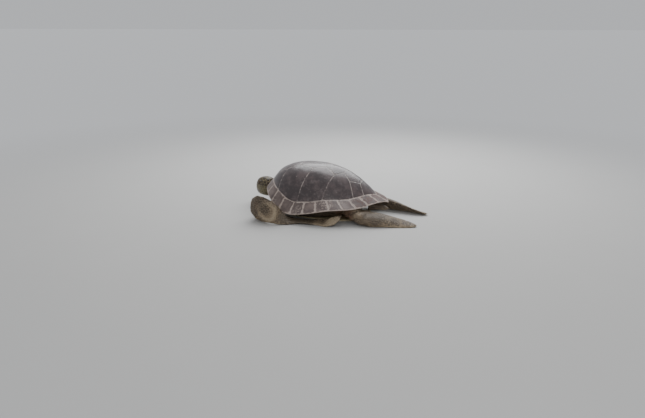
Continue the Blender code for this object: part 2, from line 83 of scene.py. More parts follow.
# ---- plates ----
PLATE_CUTS = 4  # cuts across each of a plate's faces
PLATE_THICK = 5.0 * MM
PLATE_WIDEN = 0.55 * MM  # a plate's edge reaches this far into the seam
PLATE_EVEN = 6  # times a plate's face is evened out
BORDER_STEPS = 4  # points along each edge of a plate's border, to measure from
RIM_TUCK = 4.0 * MM  # a rim plate's inner edge reaches this far under the dome
PLATE_ROUND = 1.3 * MM
SEAM_DIP, SEAM_REACH = 1.1 * MM, 7 * MM
UNDULATION = 1.2 * MM

# ---- skin ----
OVERLAP = 0.8 * MM  # flesh solids are fattened by this, to run together
VOXEL = 6.3 * MM
SOFTEN = 9  # rounds of smoothing
SKIN_DEPTH = 1.5 * MM  # the skin lies this far inside the solids, under the scales
DOME = Vector((0.36, 0.33, 0.18))  # behind, between and above this, plates hide the skin from every side
DOME_SHARE = 0.10  # of the skin's faces that are kept there

# ---- scales ----
SEED = 11  # for every random draw
SCALE_ROOT = 0.6 * MM  # how far a scale's underside lies in the skin
ROUNDING = 9  # power that rounds a scale's corners, more for sharper ones
CROWN = 0.06  # height of its middle over its last ring, as a share of its rise
NEIGHBOURS = 15  # seeds looked at for a scale's outline
SAME_SIDE = 0.1  # least cosine between two neighbours' normals
LEAST_REACH = 0.5 * MM
PATCH = 0.003  # width of a scale's patch on the skin's map
DRAWS = 9  # random points tried for each seed
CLOSEST = 0.42  # two seeds' least distance, as a share of their spacings' sum
LIMB_SCALE, NECK_SCALE = 12.5 * MM, 10.5 * MM
HEAD_SPACING, HEAD_SCALE = 9.5 * MM, 6.0 * MM  # of the small scales between the head's shields
FLIPPER_MORE, EDGE_MORE = 0.15, 0.75  # how much larger on a flipper, and again along its edge
EDGE_TURN = 35, 90  # turn of the skin's normals, per metre, from the flat to the edge
# gap between two scales, rise over the skin, sides, widest reach as a share of the size, and rings from
# the underside up: shares of the outline and of the rise
Kind = namedtuple("Kind", "gap rise sides most rings")
SMALL = Kind(0.9 * MM, 1.1 * MM, 10, 0.85, ((1.0, None), (0.96, 0.55), (0.80, 0.95)))
SHIELD = Kind(1.3 * MM, 1.5 * MM, 26, 1.15, ((1.0, None), (0.985, 0.5), (0.94, 0.86), (0.80, 1.0),
                                             (0.55, 1.05), (0.28, 1.08)))
SHIELD_CLEAR = 1.12  # no small scale this near a shield's middle, as a share of its size
MOUTH_CLEAR = 1.7  # nor any scale this near the mouth, as a share of its fold's half-width

# ---- belly ----
BELLY_SEAMS = (0.10, 0.26, 0.44, 0.60, 0.78, 0.91)  # shares of the plastron's length
BELLY_GROOVE, BELLY_DEEP = 3.5 * MM, 2.0 * MM
BELLY_VOXEL, BELLY_SOFTEN = 4.0 * MM, 2

# ---- head, from the eyes ----
LID_THICK = 1.3 * MM
LID_OPEN = Vector((14.0 * MM, 9.6 * MM))  # half-width and half-height of the eye's opening
LID_SHIFT = Vector((1.5 * MM, 0.5 * MM))  # how far it lies ahead of the eye's middle, and above
LID_CORNERS = 2.4  # power that shapes the opening's corners, more for blunter ones
LID_BED = 2.5 * MM  # in the opening, the skin lies this far inside the ball
LID_RIM, LID_FOLD = 0.7 * MM, 0.5 * MM  # the swelling round the opening, and the folds round that
BARE_RING = 23.0 * MM  # no scales this near the eye's middle
BEAK_BED = 3.0 * MM  # the skin lies this much deeper under the horn of the beak
BEAK_VOXEL, BEAK_SOFTEN = 1.6 * MM, 6
MOUTH_CORNER = -0.046  # ahead of the eyes, so it is behind them
MOUTH_TURN, MOUTH_SAG = -0.026, 0.45  # from here back it turns down, this steeply
MOUTH_GROOVE, MOUTH_HALF = 4.0 * MM, 2.6 * MM  # depth and half-width of the fold behind the beak
NOSTRIL = Vector((0.0085, -0.008))  # to the side of the midline, and above the eyes
NOSTRIL_DEEP, NOSTRIL_WIDE = 3.5 * MM, 2.6 * MM
NOSE_AHEAD = 0.03  # the nostrils are ahead of this
HEAD_BACK, HEAD_HALF = -0.085, 0.11  # the skin is finer ahead of this, and this near the midline
FINE_MOUTH, FINE_NOSTRIL, FINE_EYE = 8 * MM, 10 * MM, 30 * MM  # and finest this near to these
FINE_CUTS = 3
FACE_FROM = -0.10, -0.06  # between these, the neck's colours turn into the head's
HEAD_CORE = 0.038  # the axis of the shields is this far below the eyes

# ---- limbs ----
HOLLOW = Vector((0.338, 0.442, 0.094))  # dished side of the left front limb's bend
HOLLOW_FACING = Vector((-0.10, 0.97, 0.16))
HOLLOW_RADIUS, HOLLOW_DEEP = 0.074, 14.0 * MM
FOLD_DEEP = 11.0 * MM
CREASES, CREASE_DEEP = 30 * MM, 3 * MM  # spacing and depth of the creases at the limbs' roots
NECK_FOLDS, NECK_DEEP = 21 * MM, 2 * MM  # and of the rings round the neck
HIND_ROOT, HIND_FRONT = -0.44, (-0.16, -0.20)  # along X, the hind limbs are folded between these
FAN_ACROSS, FAN_UP = 0.02, -0.05  # their folds fan out round here
FAN_ROUND, FAN_ALONG = 11, 22.0  # their wave's turn for each radian, and each metre of X
GROIN_REAR, GROIN_FRONT = (-0.30, -0.24), (-0.10, -0.18)  # along X, the skin turns redder between these

# ---- eyes, and the head's directions ----
EYES = {side: sum(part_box(f"eye_{side}"), Vector()) / 2 for side in SIDES}
EYE_RADIUS = (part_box("eye_left")[1].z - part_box("eye_left")[0].z) / 2
HEAD_MID = (EYES["left"] + EYES["right"]) / 2
HEAD_LEFT = (EYES["left"] - EYES["right"]).normalized()
HEAD_AHEAD = HEAD_LEFT.cross(UP).normalized()
OUTWARDS = {"left": HEAD_LEFT, "right": -HEAD_LEFT}


# ---- working on objects ----
def pick(*objects):
    """Select only these, the first one active."""
    bpy.ops.object.select_all(action="DESELECT")
    for obj in objects:
        obj.select_set(True)
    bpy.context.view_layer.objects.active = objects[0]
    return objects[0]


def new_object(name, data):
    obj = bpy.data.objects.new(name, data)
    bpy.context.scene.collection.objects.link(obj)
    return obj


def double(node, name):
    """A new object with a copy of a solid's mesh, its loose triangles joined."""
    obj = new_object(name, frame["nodes"][node].data.copy())
    obj.data.materials.clear()
    with editing(obj) as edit:
        edit.remove_doubles(threshold=1e-5)
    bpy.ops.mesh.customdata_custom_splitnormals_clear()
    return obj


def apply_modifier(obj, kind, **settings):
    mod = obj.modifiers.new(kind.lower(), kind)
    for key, value in settings.items():
        setattr(mod, key, value)
    pick(obj)
    bpy.ops.object.modifier_apply(modifier=mod.name)


def remesh(obj, size):
    apply_modifier(obj, "REMESH", mode="VOXEL", voxel_size=size)


@contextmanager
def editing(obj):
    """Edit mode, with everything selected at its start; gives its operators."""
    pick(obj)
    bpy.ops.object.mode_set(mode="EDIT")
    bpy.ops.mesh.select_all(action="SELECT")
    yield bpy.ops.mesh
    bpy.ops.object.mode_set(mode="OBJECT")


def choose(obj, kind, wanted):
    """Select only the wanted points or faces, in edit mode."""
    bpy.ops.mesh.select_all(action="DESELECT")
    bm = bmesh.from_edit_mesh(obj.data)
    for item in filter(wanted, getattr(bm, kind)):
        item.select_set(True)
    if kind == "verts":
        bm.select_flush(True)
    bmesh.update_edit_mesh(obj.data)


def read(items, key, width, kind=np.float32):
    """One property of every item, as rows."""
    out = np.zeros(len(items) * width, kind)
    items.foreach_get(key, out)
    return out.reshape(-1, width)


def points_of(mesh):
    return read(mesh.vertices, "co", 3, float)


def normals_of(mesh):
    return read(mesh.vertex_normals, "vector", 3).astype(float)


def move_points(mesh, co):
    mesh.vertices.foreach_set("co", np.ascontiguousarray(co, np.float32).ravel())
    mesh.update()


def note_value(mesh, name, values):
    """Keep a number for every point, for a material to read."""
    field = mesh.attributes.get(name) or mesh.attributes.new(name, "FLOAT", "POINT")
    field.data.foreach_set("value", np.asarray(values, np.float32))


def ease(values, low, high):
    """0 below low, 1 above high and a smooth rise between them; low may be the larger."""
    s = np.clip((np.asarray(values, float) - low) / (high - low), 0, 1)
    return s * s * (3 - 2 * s)


def bell(values, middle, width):
    """1 at the middle and less to either side."""
    return np.exp(-((values - middle) / width) ** 2)


def noise_at(points, size, seed=0.0):
    """Smooth noise from -1 to 1 at each point, of a grain about this size."""
    shift = Vector((seed, -seed, 2 * seed))
    return np.array([noise.noise(Vector(p) / size + shift) for p in points])


def tree_of(points):
    tree = KDTree(len(points))
    for i, point in enumerate(points):
        tree.insert(point, i)
    tree.balance()
    return tree


def own(obj, slot, material, *nodes):
    """Hand a finished piece over: shading, material, body and the solids it stands for; the slot is not used.
    """
    obj.data.shade_smooth()
    obj.data.materials.clear()
    obj.data.materials.append(material)
    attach(obj, "root")
    if nodes:
        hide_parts(*nodes)


# ---- materials ----
class Level:
    """A socket inside a material; sums on it add Math nodes."""

    def __init__(self, finish, socket):
        self.finish, self.socket = finish, socket

    def __add__(self, other):
        return self.finish.math("ADD", self, other)

    def __sub__(self, other):
        return self.finish.math("SUBTRACT", self, other)

    def __rsub__(self, other):
        return self.finish.math("SUBTRACT", other, self)

    def __mul__(self, other):
        return self.finish.math("MULTIPLY", self, other)


class Finish:
    """A material being built on one Principled shader."""

    def __init__(self, name, **constants):
        self.material = bpy.data.materials.new(name)
        self.material.use_nodes = True
        self.tree = self.material.node_tree
        self.shader = self.tree.nodes["Principled BSDF"]
        for key, value in constants.items():
            self.shader.inputs[key.replace("_", " ").title().replace("Ior", "IOR")].default_value = value
        self.place = self.add("TexCoord", output="Object")

    def add(self, kind, inputs=None, output=0, **settings):
        """One output of a new shader node."""
        node = self.tree.nodes.new("ShaderNode" + kind)
        for key, value in settings.items():
            setattr(node, key, value)
        for key, value in (inputs or {}).items():
            self.feed(node.inputs[key], value)
        return Level(self, node.outputs[output])

    def feed(self, socket, value):
        if isinstance(value, Level):
            self.tree.links.new(value.socket, socket)
        else:
            socket.default_value = (*value, 1.0) if socket.type == "RGBA" else value

    def math(self, operation, *values):
        return self.add("Math", dict(enumerate(values)), operation=operation)

    def noise(self, size, detail=3.0, roughness=0.5, where=None):
        """Noise from 0 to 1 with a grain of this many metres."""
        return self.add("TexNoise", {"Vector": where or self.place, "Scale": 1 / size,
                                     "Detail": detail, "Roughness": roughness})

    def cells(self, size, feature="F1"):
        return self.add("TexVoronoi", {"Vector": self.place, "Scale": 1 / size}, feature=feature)

    def rise(self, value, low, high, bottom=0.0, top=1.0):
        """Smoothly from bottom to top while the value goes from low to high."""
        return self.add("MapRange", {0: value, 1: low, 2: high, 3: bottom, 4: top},
                        interpolation_type="SMOOTHSTEP")

    def field(self, name):
        """A number that note_value kept on the points."""
        return self.add("Attribute", output="Fac", attribute_name=name)

    def mix(self, factor, first, second):
        return self.add("Mix", {0: factor, 6: first, 7: second}, 2, data_type="RGBA")

    def along(self, axis):
        return self.add("SeparateXYZ", {0: self.place}, axis)

    def distance(self, centre):
        return self.add("VectorMath", {0: self.place, 1: tuple(centre)}, "Value", operation="DISTANCE")

    def done(self, colour, roughness=None, bumps=()):
        """Link the colour and roughness, and stack bumps of (height, distance in metres)."""
        normal = {}
        for height, distance in bumps:
            inputs = {"Height": height, "Distance": distance}
            normal = {"Normal": self.add("Bump", inputs | normal)}
        rough = {} if roughness is None else {"Roughness": roughness}
        for key, value in ({"Base Color": colour} | rough | normal).items():
            self.feed(self.shader.inputs[key], value)
        return self.material


HORN_DARK, HORN_MID, HORN_GREY = (0.048, 0.034, 0.035), (0.098, 0.070, 0.069), (0.15, 0.123, 0.120)
SEAM_PALE = (0.40, 0.34, 0.31)
RIM_DARK, RIM_MID, RIM_PALE = (0.105, 0.078, 0.072), (0.19, 0.145, 0.130), (0.44, 0.36, 0.315)
SKIN_TAN, SKIN_BROWN, SKIN_PALE = (0.185, 0.132, 0.082), (0.075, 0.048, 0.030), (0.42, 0.335, 0.225)
SKIN_RED = (0.17, 0.078, 0.045)
SHIELD_DARK, SHIELD_WARM, SHIELD_SEAM = (0.022, 0.016, 0.011), (0.070, 0.045, 0.023), (0.25, 0.205, 0.105)
OLIVE, LID_BROWN = (0.105, 0.090, 0.040), (0.075, 0.056, 0.034)
# the first colour here is painted shade under the shell's rim, on the trunk and on the left front flipper's
# middle, and also the colour of real dark patches on the hind flippers
SHADE_AND_PATCH_BROWN, RIM_RED = (0.060, 0.042, 0.028), (0.105, 0.052, 0.042)
BELLY = (0.50, 0.43, 0.28)

# patches of colour on the limbs, among them painted shade and a painted highlight: where and how wide in mm,
# how strong, and the colour
SPOTS = (
    ((330, 445, 90), 92, 1, SKIN_PALE), ((337, 442, 97), 66, 0.95, SKIN_TAN),
    # painted shade in the bend's hollow (the brown patch) and a painted highlight in it (the small pale
    # patch)
    ((360, 438, 113), 48, 1, SKIN_BROWN), ((368, 446, 115), 12, 1, SKIN_PALE),
    ((410, 420, 165), 32, 0.85, SKIN_BROWN), ((470, 400, 80), 60, 0.85, SKIN_BROWN),
    # painted shade: the left front flipper's middle, under the shell's rim, is painted dark brown
    ((200, 380, 30), 85, 1, SHADE_AND_PATCH_BROWN), ((80, 340, 30), 105, 1, SHADE_AND_PATCH_BROWN),
    ((-150, 370, 60), 85, 0.75, SKIN_PALE), ((-235, 250, 70), 65, 0.75, SKIN_RED),
    ((-390, 250, 100), 60, 0.9, SKIN_BROWN), ((-490, 230, 80), 50, 0.9, SHADE_AND_PATCH_BROWN),
    ((-580, 200, 50), 42, 0.9, SKIN_BROWN), ((-660, 180, 35), 30, 0.85, SHADE_AND_PATCH_BROWN))


def horn_material(name, pale_width, coat, wear, dark, mid, grey, pale):
    """Wet horn: blotches, faint growth rings that follow each plate's edge, and pale edges."""
    f = Finish(name, coat_weight=coat, coat_roughness=0.22, ior=1.45)
    edge = f.field("from_edge")
    blotch = f.noise(0.075, 4.0, 0.6)
    fine = f.noise(0.011, 3.0, 0.6)
    streak = f.noise(0.028, 2.0, 0.5)
    colour = f.mix(f.rise(blotch, 0.40, 0.66), dark, mid)
    colour = f.mix(f.rise(streak, 0.52, 0.78) * 0.45, colour, grey)
    colour = f.mix(f.rise(fine, 0.60, 0.80) * 0.25, colour, grey)
    specks = f.rise(f.cells(0.055), 0.085, 0.045) * f.rise(f.noise(0.2), 0.48, 0.60)
    colour = f.mix(specks * 0.75, colour, pale)
    width = f.rise(f.noise(0.022, 3.0), 0.3, 0.7, 0.45, 1.55) * pale_width
    rear = f.rise(f.along("X"), -0.18, -0.36)
    colour = f.mix(rear * wear * 1.6, colour, f.mix(f.rise(streak, 0.4, 0.6), RIM_RED, dark))
    border = f.rise(edge - width, 0.0018, -0.0014)
    colour = f.mix(border * f.rise(fine, 0.20, 0.50, 0.65, 0.95), colour, pale)
    worn = f.rise(f.noise(0.16, 1.0), 0.47, 0.60) * f.rise(f.noise(0.014, 4.0, 0.65), 0.50, 0.62)
    colour = f.mix(worn * (1.0 - rear * 0.7) * wear, colour, pale)
    rings = f.math("SINE", (edge + f.noise(0.06) * 0.03) * 640.0) * f.rise(edge, 0.040, 0.006)
    rough = f.rise(fine, 0.3, 0.8, 0.30, 0.46) + border * 0.12 + rear * wear * 0.40
    return f.done(colour, rough, ((rings, 0.00010), (fine, 0.0006), (f.noise(0.0035, 2.0), 0.00025)))


def flesh_colour(f):
    """The body's markings, the same on skin and scales: tan, browner in patches, paler below, with the
    painted shade and highlight of SPOTS.
    """
    patch = f.noise(0.11, 4.0, 0.65)
    colour = f.mix(f.rise(patch, 0.42, 0.56), SKIN_TAN, SKIN_BROWN)
    colour = f.mix(f.rise(f.noise(0.028, 4.0, 0.65), 0.54, 0.68) * 0.55, colour, SKIN_PALE)
    low = f.along("Z") + f.noise(0.016, 2.0) * 0.030
    colour = f.mix(f.rise(low, 0.040, 0.018) * 0.75, colour, SKIN_PALE)
    ragged = f.noise(0.02)
    for centre, reach, share, paint in SPOTS:
        reach *= MM
        edge = f.distance(Vector(centre) * MM) + ragged * reach * 0.5
        colour = f.mix(f.rise(edge, reach * 1.25, reach * 0.75) * share, colour, paint)
    return colour


def skin_material():
    f = Finish("skin", coat_weight=0.10, coat_roughness=0.35)
    colour = flesh_colour(f)
    seam = f.mix(0.40, colour, SKIN_PALE)
    # painted shade: the trunk's skin under the shell's rim is darkened to brown
    seam = f.mix(f.field("under") * 0.8, seam, SHADE_AND_PATCH_BROWN)
    groin = f.field("flush") * f.rise(f.noise(0.03), 0.30, 0.50)
    colour = f.mix(groin, seam, SKIN_RED)
    face = f.mix(f.rise(f.noise(0.02), 0.4, 0.6), SHIELD_SEAM, OLIVE)
    colour = f.mix(f.field("face"), colour, face)
    lids = f.mix(f.rise(f.noise(0.004), 0.4, 0.6), LID_BROWN, SHIELD_WARM)
    colour = f.mix(f.field("lid"), colour, lids)
    creases = f.rise(f.cells(0.009, "DISTANCE_TO_EDGE"), 0.0, 0.12)
    colour = f.mix((1 - creases) * 0.35, colour, SKIN_BROWN)
    # painted shade: the nostril pits are painted nearly black
    colour = f.mix(f.field("pit"), colour, (0.012, 0.008, 0.006))
    rough = f.rise(f.noise(0.01), 0.3, 0.7, 0.45, 0.66)
    return f.done(colour, rough, ((creases, 0.0006), (f.noise(0.003, 2.0), 0.0003)))


def scale_material():
    """Body scales: the skin's markings, browner in the middle of each scale, some nearly black."""
    f = Finish("body_scales", coat_weight=0.05, coat_roughness=0.35)
    colour = flesh_colour(f)
    inward, tone, dark = f.field("inward"), f.field("tone"), f.field("dark")
    edge = f.mix(0.30, colour, SKIN_PALE)
    middle = f.mix(dark * 0.80 + tone * 0.20, colour, SHIELD_DARK)
    colour = f.mix(f.rise(inward, 0.03, 0.30), edge, middle)
    colour = f.mix(f.rise(inward, 0.25, 1.0) * tone * 0.35, colour, SKIN_TAN)
    rough = f.rise(f.noise(0.006), 0.3, 0.7, 0.48, 0.66)
    return f.done(colour, rough, ((f.noise(0.004, 3.0), 0.0004),))


def shield_material():
    """Head shields: dark brown with pale borders, olive and warmer low on the cheek."""
    f = Finish("head_scales", coat_weight=0.12, coat_roughness=0.25)
    inward, tone, cheek = f.field("inward"), f.field("tone"), f.field("cheek")
    mottle = f.noise(0.012, 4.0, 0.6)
    top = f.mix(f.rise(mottle, 0.40, 0.70), SHIELD_DARK, SHIELD_WARM)
    side = f.mix(f.rise(mottle, 0.42, 0.72), OLIVE, SHIELD_SEAM)
    colour = f.mix(tone * 0.4, f.mix(cheek, top, side), SHIELD_WARM)
    colour = f.mix(f.rise(inward, 0.14, 0.03), colour, SHIELD_SEAM)
    return f.done(colour, f.rise(mottle, 0.3, 0.7, 0.28, 0.44),
                  ((mottle, 0.0005), (f.noise(0.003, 2.0), 0.0002)))


def beak_material():
    """Dark horn with upright streaks, paler and warmer along the edge that meets the skin."""
    f = Finish("beak_horn", coat_weight=0.3, coat_roughness=0.15)
    upright = f.add("Mapping", {"Vector": f.place, "Scale": (1.0, 1.0, 0.22)})
    grain, streak = f.noise(0.02, 4.0, 0.6), f.noise(0.005, 3.0, 0.6, upright)
    colour = f.mix(f.rise(grain, 0.35, 0.65), (0.085, 0.060, 0.030), (0.035, 0.024, 0.014))
    colour = f.mix(f.rise(streak, 0.50, 0.75) * 0.5, colour, (0.15, 0.105, 0.05))
    edge = f.rise(f.field("from_edge") + grain * 0.006, 0.013, 0.002)
    colour = f.mix(edge * 0.75, colour, (0.30, 0.23, 0.11))
    return f.done(colour, f.rise(grain, 0.3, 0.7, 0.24, 0.42), ((streak, 0.0005), (grain, 0.0004)))


def claw_material():
    f = Finish("claw_horn", coat_weight=0.3, coat_roughness=0.15)
    grain = f.noise(0.006, 3.0, 0.6)
    colour = f.mix(f.rise(grain, 0.35, 0.65), (0.26, 0.20, 0.13), (0.09, 0.065, 0.045))
    return f.done(colour, f.rise(grain, 0.3, 0.7, 0.25, 0.40), ((grain, 0.0002),))


def belly_material():
    f = Finish("plastron_horn", coat_weight=0.15, coat_roughness=0.3)
    blotch, fine = f.noise(0.08, 4.0, 0.6), f.noise(0.012, 3.0, 0.6)
    colour = f.mix(f.rise(blotch, 0.4, 0.7), BELLY, (0.42, 0.32, 0.18))
    colour = f.mix(f.rise(fine, 0.6, 0.8) * 0.4, colour, (0.28, 0.22, 0.15))
    colour = f.mix(f.field("seam") * 0.7, colour, (0.16, 0.115, 0.07))
    return f.done(colour, f.rise(fine, 0.3, 0.8, 0.35, 0.55), ((fine, 0.0005),))


def eye_material(side):
    """A dark brown iris round a black pupil, both on the ball's outer side."""
    f = Finish(f"eye_{side}", roughness=0.05, coat_weight=1.0, coat_roughness=0.02)
    away = f.distance(EYES[side] + OUTWARDS[side] * EYE_RADIUS)
    fleck = f.noise(0.0016, 3.0, 0.6)
    iris = f.mix(f.rise(fleck, 0.35, 0.65), (0.050, 0.026, 0.010), (0.16, 0.085, 0.030))
    colour = f.mix(f.rise(away, 0.0044, 0.0050), (0.002, 0.002, 0.002), iris)
    colour = f.mix(f.rise(away, 0.0098, 0.0112), colour, (0.020, 0.015, 0.012))
    return f.done(colour)


# ---- horn plates ----
SHELL_HEART = Vector((0.10, 0.0, -0.25))  # every plate's outer face looks away from here
OUTER_FACING = 0.55  # cosine of the widest angle between that and an outer face


def widen_border(mesh, distance, tuck):
    """Move the open edge out in the surface's own plane, further where it looks to the shell's middle.

    Returns points close together along the edge.
    """
    bm = bmesh.new()
    bm.from_mesh(mesh)
    border = [edge for edge in bm.edges if edge.is_boundary]
    shifts = {}
    for edge in border:
        face = edge.link_faces[0]
        along = (edge.verts[1].co - edge.verts[0].co).normalized()
        out = along.cross(face.normal)
        if out.dot(edge.verts[0].co - face.calc_center_median()) < 0:
            out.negate()
        for v in edge.verts:
            shifts.setdefault(v, []).append(out)
    for v, ways in shifts.items():
        way = sum(ways, Vector()).normalized()
        middle = Vector((-v.co.x, -v.co.y, 0.0)).normalized()
        v.co += way * (distance + tuck * max(way.dot(middle), 0.0))
    spots = [edge.verts[0].co.lerp(edge.verts[1].co, (k + 0.5) / BORDER_STEPS)
             for edge in border for k in range(BORDER_STEPS)]
    bm.to_mesh(mesh)
    bm.free()
    return spots


def nearest_gap(points, spots):
    tree = tree_of(spots)
    return np.array([tree.find(p)[2] for p in points])


def hidden_on_shell(face):
    """True for a plate's sides and underside."""
    outwards = (face.calc_center_median() - SHELL_HEART).normalized()
    return face.normal.dot(outwards) < OUTER_FACING


def horn_plate(node, material, slot, tuck):
    """A plate's finer double: its outer face made smooth, dished at the seams, thick and round-edged."""
    obj = double(node, f"horn_{node}")
    mesh = obj.data
    with editing(obj) as edit:
        choose(obj, "faces", hidden_on_shell)
        edit.delete(type="FACE")
        edit.select_all(action="SELECT")
        edit.tris_convert_to_quads(face_threshold=0.6, shape_threshold=0.9)
        edit.subdivide(number_cuts=PLATE_CUTS, smoothness=1.0)
        choose(obj, "verts", lambda v: not v.is_boundary)
        edit.vertices_smooth(factor=0.5, repeat=PLATE_EVEN)
    spots = widen_border(mesh, PLATE_WIDEN, tuck)
    co, normals = points_of(mesh), normals_of(mesh)
    gap = nearest_gap(co, spots)
    wave = UNDULATION * (noise_at(co, 0.06) - 0.35) * ease(gap, 0, 0.03)
    dip = SEAM_DIP * np.exp(-gap / SEAM_REACH)
    move_points(mesh, co + normals * (np.minimum(wave, 0.0) - dip)[:, None])
    apply_modifier(obj, "SOLIDIFY", thickness=PLATE_THICK, offset=-1.0)
    apply_modifier(obj, "BEVEL", width=PLATE_ROUND, segments=2, limit_method="ANGLE",
                   angle_limit=math.radians(50))
    note_value(mesh, "from_edge", nearest_gap(points_of(mesh), spots))
    own(obj, slot, material, node)


def make_plates():
    """The dome's dark plates, and the paler, more worn ones of the rim."""
    dark = horn_material("carapace_horn", 0.0024, 0.45, 0.08, HORN_DARK, HORN_MID, HORN_GREY, SEAM_PALE)
    rim = horn_material("marginal_horn", 0.0070, 0.05, 0.60, RIM_DARK, RIM_MID, RIM_MID, RIM_PALE)
    for node in DARK_PLATES:
        horn_plate(node, dark, "carapace_horn", 0.0)
    for node in RIM_PLATES:
        horn_plate(node, rim, "marginal_horn", RIM_TUCK)


# ---- one skin ----
class Net:
    """The edges of a mesh, for smoothing values over it."""

    def __init__(self, mesh):
        ends = read(mesh.edges, "vertices", 2, np.int64)
        self.here, self.there = np.concatenate([ends, ends[:, ::-1]]).T
        self.size = len(mesh.vertices)
        self.count = np.maximum(np.bincount(self.here, minlength=self.size), 1)

    def around(self, values):
        """Each point's neighbours' mean."""
        columns = values.reshape(self.size, -1)[self.there].T
        total = np.array([np.bincount(self.here, column, self.size) for column in columns])
        return (total.T / self.count[:, None]).reshape(values.shape)

    def soften(self, values, rounds):
        for _ in range(rounds):
            values = 0.5 * values + 0.5 * self.around(values)
        return values


def keep_form_soften(mesh, rounds):
    """Smooth the facets away, then give back the breadth that smoothing took."""
    net = Net(mesh)
    start = points_of(mesh)
    soft = net.soften(start, rounds)
    move_points(mesh, soft + net.soften(start - soft, rounds))


def head_axes(co):
    """Coordinates along, across (to the left) and up from the middle between the eyes."""
    rel = co - HEAD_MID
    return rel @ HEAD_AHEAD, rel @ HEAD_LEFT, rel @ UP


def eye_distance(co):
    """Distance to the nearer eye's middle."""
    return np.min([norm(co - EYES[side], axis=1) for side in SIDES], axis=0)


def solid_tree(nodes):
    """One search tree over several solids, and each of its faces' node."""
    verts, faces, owner = [], [], []
    for node in nodes:
        mesh = frame["nodes"][node].data
        base = len(verts)
        verts += [v.co.copy() for v in mesh.vertices]
        faces += [[base + i for i in p.vertices] for p in mesh.polygons]
        owner += [node] * len(mesh.polygons)
    return BVHTree.FromPolygons(verts, faces), owner


def nearest_nodes(co, nodes):
    tree, owner = solid_tree(nodes)
    return np.array([owner[tree.find_nearest(p)[2]] for p in co])


def drop_crumbs(skin):
    """Keep only what hangs together with the back, the skin's highest point."""
    top = points_of(skin.data)[:, 2].max()
    with editing(skin) as edit:
        choose(skin, "verts", lambda v: v.co.z >= top)
        edit.select_linked()
        edit.select_all(action="INVERT")
        edit.delete(type="VERT")


def thin_under_dome(skin):
    """Fewer faces where the plates hide them."""
    with editing(skin) as edit:
        choose(skin, "verts", lambda v: v.co.x < DOME.x and abs(v.co.y) < DOME.y and v.co.z > DOME.z)
        edit.decimate(ratio=DOME_SHARE)


def body_skin():
    """Every flesh solid and the beak's core run together into one closed skin."""
    parts = [double(node, f"flesh_{node}") for node in FLESH + BEAKS]
    for part in parts:
        apply_modifier(part, "DISPLACE", strength=OVERLAP, mid_level=0.0)
    skin = pick(*parts)
    bpy.ops.object.join()
    skin.name = skin.data.name = "skin"
    remesh(skin, VOXEL)
    drop_crumbs(skin)
    thin_under_dome(skin)
    keep_form_soften(skin.data, SOFTEN)
    return skin


def subdivide_where(obj, chosen, cuts):
    """Cut the faces whose points are all chosen."""
    with editing(obj) as edit:
        choose(obj, "faces", lambda face: all(chosen[v.index] for v in face.verts))
        edit.subdivide(number_cuts=cuts, smoothness=0.6)


def shape_lids(co):
    """Thick lids: a cap over each eyeball with an almond opening."""
    co = co.copy()
    for side in SIDES:
        rel = co - EYES[side]
        height, ahead, up = rel @ OUTWARDS[side], rel @ HEAD_AHEAD, rel @ UP
        reach = np.hypot(ahead, up)
        cap = np.sqrt(np.maximum((EYE_RADIUS + LID_THICK) ** 2 - reach ** 2, 0))
        near = (reach < EYE_RADIUS + LID_THICK) & (height > -EYE_RADIUS)
        level = np.where(near, np.maximum(height, cap), height)
        across = np.abs(ahead - LID_SHIFT.x) / LID_OPEN.x
        almond = np.abs(up - LID_SHIFT.y) / (LID_OPEN.y * np.maximum(1 - across ** LID_CORNERS, 0.02))
        open_here = near & (almond < 1) & (across < 1)
        level = level + LID_RIM * near * bell(almond, 1.25, 0.35)
        level = level - LID_FOLD * near * np.maximum(np.sin(almond * 4.2), 0) * (almond > 1.6)
        sunk = np.sqrt(np.maximum((EYE_RADIUS - LID_BED) ** 2 - reach ** 2, 0))
        level = np.where(open_here, sunk, level)
        co += (level - height)[:, None] * OUTWARDS[side]
    return co


def bite_line(ahead):
    """Height of the mouth's line at a place ahead of the eyes: the lower beak's top edge, run on behind."""
    mesh = frame["nodes"]["beak_lower"].data
    front, _, high = head_axes(points_of(mesh))
    rim = high > high.max() - 0.006
    slope, level = np.polyfit(front[rim], high[rim], 1)
    return level + slope * ahead


def beside_mouth(ahead, up):
    """Distance from the fold that runs back from the beak to the mouth's corner."""
    behind = np.maximum(MOUTH_CORNER - ahead, 0)
    sag = MOUTH_SAG * np.maximum(MOUTH_TURN - ahead, 0)
    return np.hypot(up - bite_line(ahead) + sag, behind)


def beside_nostril(ahead, left, up):
    """Distance from the nearer nostril, on the front of the head only."""
    return np.where(ahead > NOSE_AHEAD, np.hypot(np.abs(left) - NOSTRIL.x, up - NOSTRIL.y), np.inf)


def nose_pits(ahead, left, up):
    """1 at the two nostrils."""
    return ease(beside_nostril(ahead, left, up) / NOSTRIL_WIDE, 1.25, 0.55)


def bend_dish(co, normals):
    """How deep the hollow on the left front limb's bend is, with one furrow in it and one round its rim."""
    facing = HOLLOW_FACING.normalized()
    rel = co - HOLLOW
    height = rel @ facing
    away = norm(rel - height[:, None] * facing, axis=1) / HOLLOW_RADIUS
    shown = ease(normals @ facing, 0.1, 0.6) * (np.abs(height) < 0.06)
    furrows = 0.55 * bell(away, 1.32, 0.16) + 0.25 * bell(away, 0.62, 0.07)
    return shown * HOLLOW_DEEP * (ease(away, 0.92, 0.10) + furrows)


def root_folds(co):
    """Long folds that fan over the hind limbs' roots from the shell's edge: 0 in a furrow, 1 on a ridge."""
    turn = np.arctan2(co[:, 2] - FAN_UP, np.abs(co[:, 1]) - FAN_ACROSS)
    fan = turn * FAN_ROUND + FAN_ALONG * co[:, 0]
    at_root = ease(co[:, 0], HIND_ROOT, HIND_ROOT + 0.10) * ease(co[:, 0], *HIND_FRONT)
    return at_root, np.abs(np.sin(fan + 1.6 * noise_at(co, 0.06, 13.0)))


